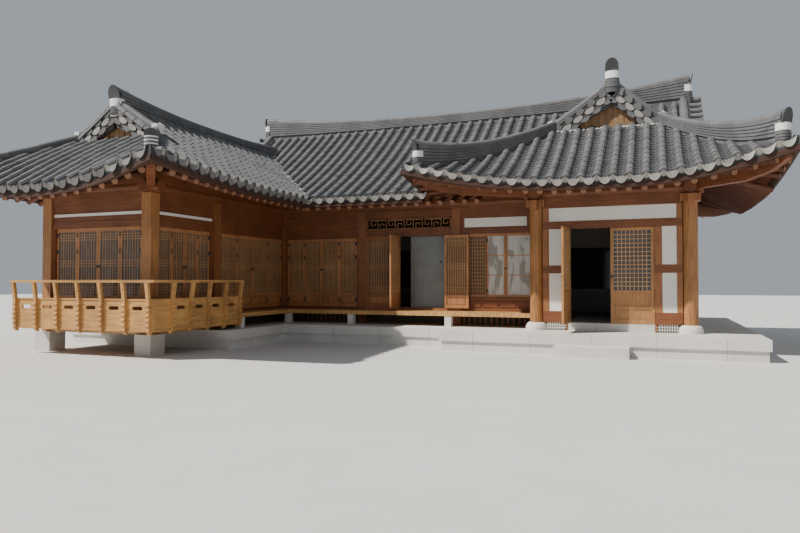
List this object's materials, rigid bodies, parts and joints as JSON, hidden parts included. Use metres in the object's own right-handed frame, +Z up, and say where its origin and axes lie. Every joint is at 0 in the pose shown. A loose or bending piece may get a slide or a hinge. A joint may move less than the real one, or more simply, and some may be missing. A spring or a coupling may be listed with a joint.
{
  "type": "hanok house",
  "caption": "U-shaped Korean hanok house with grey tiled hip-and-gable roofs, lattice doors, a porch and a raised room with a railed balcony.",
  "frame": {"origin": "on the ground under the middle of the main body, on the platform's underside", "axes": "+X towards the right wing, -Y towards the courtyard, +Z up"},
  "size_m": [15.59, 12.72, 6.4499],
  "materials": {
    "stone": "sawn pale granite",
    "boards": "worn oiled floor boards",
    "timber": "oiled brown timber",
    "plaster": "white lime plaster",
    "lattice": "oiled lattice timber with paper",
    "glass": "clear window glass",
    "tile": "unglazed grey roof tile"
  },
  "bodies": {
    "house": {"back_glass": "glass", "back_wall": "plaster", "balcony_front_railing": "timber", "balcony_side_railing": "timber", "beams_back": "timber", "beams_left_wing": "timber", "beams_main_front": "timber", "beams_right_wing": "timber", "column_entrance_left": "timber", "column_entrance_right": "timber", "column_inner_corner": "timber", "column_left_wing": "timber", "column_main_left": "timber", "column_main_right": "timber", "column_raised_left": "timber", "column_raised_right": "timber", "door_head": "plaster", "door_panel_left": "plaster", "door_panel_right": "plaster", "door_step": "stone", "east_glass": "glass", "east_wall": "plaster", "inner_screen": "glass", "left_wing_court_wall": "timber", "left_wing_folding_doors": "lattice", "main_court_wall": "timber", "main_floor": "boards", "main_folding_doors": "lattice", "pier_court_side": "stone", "pier_front_left": "stone", "porch_floor": "boards", "porch_wall_head": "timber", "porch_wall_left": "timber", "porch_wall_right": "timber", "porch_window": "lattice", "raised_court_doors": "lattice", "raised_court_wall": "timber", "raised_floor": "boards", "raised_front_doors": "lattice", "raised_front_wall": "timber", "raised_outer_doors": "lattice", "return_wall": "plaster", "ridge_left_wing": "tile", "ridge_main": "tile", "ridge_right_wing": "tile", "right_wing_floor": "stone", "roof_left_wing": "tile", "roof_main": "tile", "roof_right_wing": "tile", "stone_platform": "stone", "west_glass": "glass", "west_wall": "plaster", "window_wall": "timber"},
    "left_door": {"door_leaf_left": "lattice"},
    "right_door": {"door_leaf_right": "lattice"},
    "porch_left_door": {"porch_leaf_left": "lattice"},
    "porch_right_door": {"porch_leaf_right": "lattice"}
  },
  "joints": [
    {"name": "left_door_hinge", "type": "hinge", "parent": "house", "child": "left_door", "pos_m": [3.78, -0.685, 1.54], "axis": [0, 0, 1], "range_deg": [-17, 93]},
    {"name": "right_door_hinge", "type": "hinge", "parent": "house", "child": "right_door", "pos_m": [5.46, -0.685, 1.54], "axis": [0, 0, 1], "range_deg": [0, 110]},
    {"name": "porch_left_hinge", "type": "hinge", "parent": "house", "child": "porch_left_door", "pos_m": [-0.35, 0.135, 1.65], "axis": [0, 0, 1], "range_deg": [-85, 90]},
    {"name": "porch_right_hinge", "type": "hinge", "parent": "house", "child": "porch_right_door", "pos_m": [0.84, 0.135, 1.65], "axis": [0, 0, 1], "range_deg": [-180, 0]}
  ]
}
